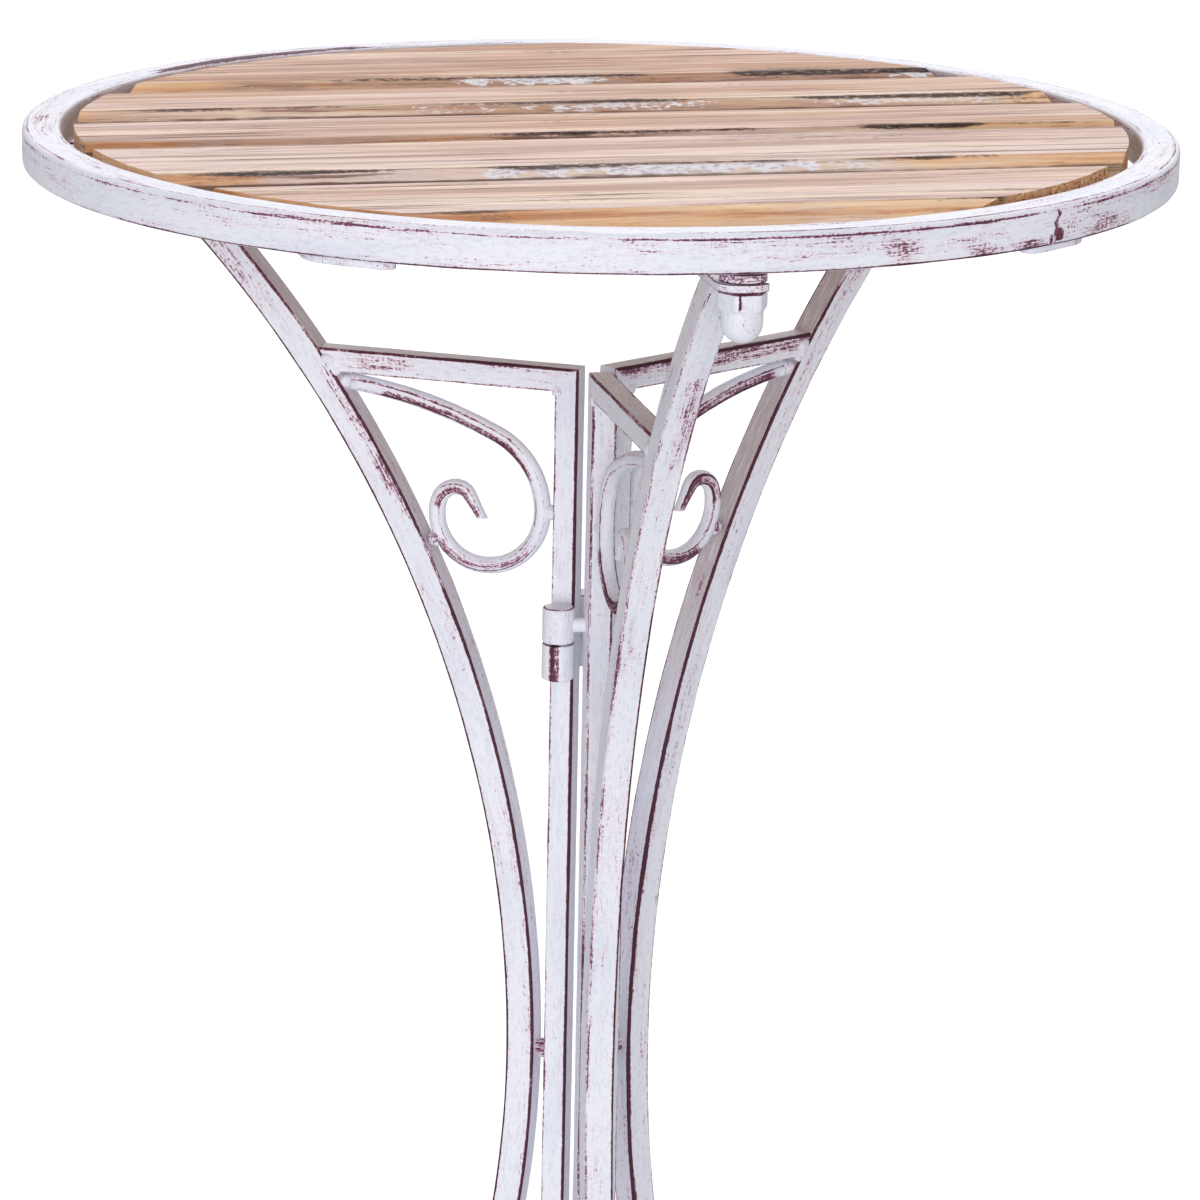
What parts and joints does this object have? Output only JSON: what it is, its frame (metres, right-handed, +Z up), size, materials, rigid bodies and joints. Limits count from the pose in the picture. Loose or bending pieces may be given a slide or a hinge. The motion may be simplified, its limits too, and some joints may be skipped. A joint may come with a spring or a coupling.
{
  "type": "folding round side table",
  "caption": "Round side table with a boarded wooden top in a steel ring, on a folding scrolled steel base whose bowed legs swing on barrel hinges.",
  "frame": {"origin": "on the floor, under the middle of the round top", "axes": "+Z up; the boards run along X; the front leg points along -Y"},
  "size_m": [0.45, 0.45, 0.751],
  "materials": {
    "painted_steel": "distressed bluish-white paint, rubbed through to dark maroon along the edges",
    "weathered_wood": "rough weathered tan boards with grey-brown grain and natural barky edges",
    "foot_plastic": "moulded black",
    "screw_steel": "dull zinc",
    "pin_steel": "bare turned steel"
  },
  "bodies": {
    "hub": {"board_1": "weathered_wood", "board_2": "weathered_wood", "board_3": "weathered_wood", "board_4": "weathered_wood", "board_5": "weathered_wood", "board_screws": "screw_steel", "cap_nuts": "painted_steel", "front_hinge_barrels": "painted_steel", "front_hinge_pins": "pin_steel", "front_hinge_welds": "painted_steel", "left_crossbar": "painted_steel", "left_foot_cap": "foot_plastic", "left_leg": "painted_steel", "left_lower_rail": "painted_steel", "left_lower_scroll": "painted_steel", "left_lug": "painted_steel", "left_post": "painted_steel", "left_upper_rail": "painted_steel", "left_upper_scroll": "painted_steel", "left_weld_tacks": "painted_steel", "rear_hinge_barrels": "painted_steel", "rear_hinge_pins": "pin_steel", "rear_hinge_welds": "painted_steel", "right_crossbar": "painted_steel", "top_ring": "painted_steel", "top_spacers": "painted_steel", "top_studs": "painted_steel"},
    "front_wing": {"front_foot_cap": "foot_plastic", "front_hinge_arms": "painted_steel", "front_hinge_sockets": "painted_steel", "front_leg": "painted_steel", "front_lower_rail": "painted_steel", "front_lower_scroll": "painted_steel", "front_lug": "painted_steel", "front_post": "painted_steel", "front_upper_rail": "painted_steel", "front_upper_scroll": "painted_steel", "front_weld_tacks": "painted_steel"},
    "rear_wing": {"rear_foot_cap": "foot_plastic", "rear_hinge_arms": "painted_steel", "rear_hinge_sockets": "painted_steel", "rear_leg": "painted_steel", "rear_lower_rail": "painted_steel", "rear_lower_scroll": "painted_steel", "rear_lug": "painted_steel", "rear_post": "painted_steel", "rear_upper_rail": "painted_steel", "rear_upper_scroll": "painted_steel", "rear_weld_tacks": "painted_steel"}
  },
  "joints": [
    {"name": "front_fold", "type": "hinge", "parent": "hub", "child": "front_wing", "pos_m": [-0.01487, -0.00516, 0.362], "axis": [0, 0, -1], "range_deg": [0, 120]},
    {"name": "rear_fold", "type": "hinge", "parent": "hub", "child": "rear_wing", "pos_m": [-0.00297, 0.01546, 0.362], "axis": [0, 0, 1], "range_deg": [0, 120]}
  ]
}
